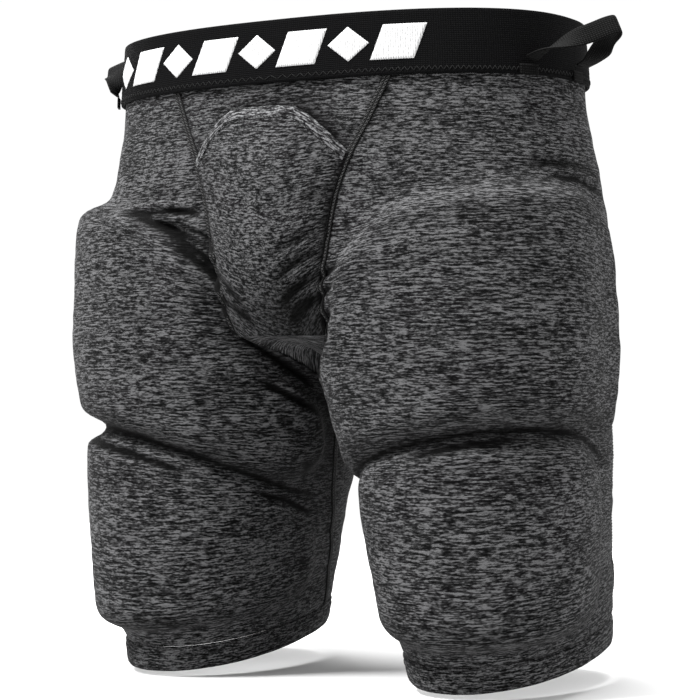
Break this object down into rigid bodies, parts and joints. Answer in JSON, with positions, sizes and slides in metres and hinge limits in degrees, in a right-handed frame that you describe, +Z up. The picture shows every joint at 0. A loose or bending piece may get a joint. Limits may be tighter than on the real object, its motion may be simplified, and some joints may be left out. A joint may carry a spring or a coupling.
{
  "type": "padded impact shorts",
  "caption": "Padded compression shorts with foam thigh pads in stretch-knit pockets, a cup pouch, an elastic waistband and webbing hang loops.",
  "frame": {"origin": "centre of the waist opening, level with the waistband's top rim", "axes": "+Z up out of the waist opening, -Y the way the wearer faces, +X the wearer's left"},
  "size_m": [0.4107, 0.2309, 0.4271],
  "materials": {
    "heather_knit": "space-dyed charcoal stretch knit with short pale streaks, matt",
    "elastic": "black woven jacquard elastic",
    "webbing": "black ribbed tape webbing",
    "foam": "grey closed-cell foam",
    "lining_mesh": "dark grey pocket mesh",
    "binding": "turned knit edge with stitching",
    "thread": "black flatlock thread"
  },
  "bodies": {
    "root": {"waistband": "elastic", "waistband_stitching": "thread", "front_panel": "heather_knit", "cup_pouch": "heather_knit", "pouch_edge_binding": "binding", "crotch_gusset": "heather_knit", "centre_back_seam": "thread", "left_leg_panel": "heather_knit", "left_back_panel": "heather_knit", "left_hem_band": "heather_knit", "left_upper_thigh_pad": "foam", "left_lower_thigh_pad": "foam", "left_upper_thigh_pad_backing": "lining_mesh", "left_lower_thigh_pad_backing": "lining_mesh", "left_front_seam": "thread", "left_side_back_seam": "thread", "left_inseam": "thread", "left_hem_stitching": "thread", "left_front_loop_tab": "webbing", "left_back_loop_tab": "webbing", "right_leg_panel": "heather_knit", "right_back_panel": "heather_knit", "right_hem_band": "heather_knit", "right_upper_thigh_pad": "foam", "right_lower_thigh_pad": "foam", "right_upper_thigh_pad_backing": "lining_mesh", "right_lower_thigh_pad_backing": "lining_mesh", "right_front_seam": "thread", "right_side_back_seam": "thread", "right_inseam": "thread", "right_hem_stitching": "thread", "right_front_loop_tab": "webbing", "right_back_loop_tab": "webbing"},
    "left_loop": {"left_hang_loop": "webbing"},
    "right_loop": {"right_hang_loop": "webbing"}
  },
  "joints": [
    {"name": "left_loop_hinge", "type": "hinge", "parent": "root", "child": "left_loop", "pos_m": [0.16485, -0.02311, -0.031], "axis": [0.2543, 0.9671, 0], "range_deg": [-35, 90]},
    {"name": "right_loop_hinge", "type": "hinge", "parent": "root", "child": "right_loop", "pos_m": [-0.16485, -0.02311, -0.031], "axis": [0.2543, -0.9671, 0], "range_deg": [-5, 105]}
  ]
}
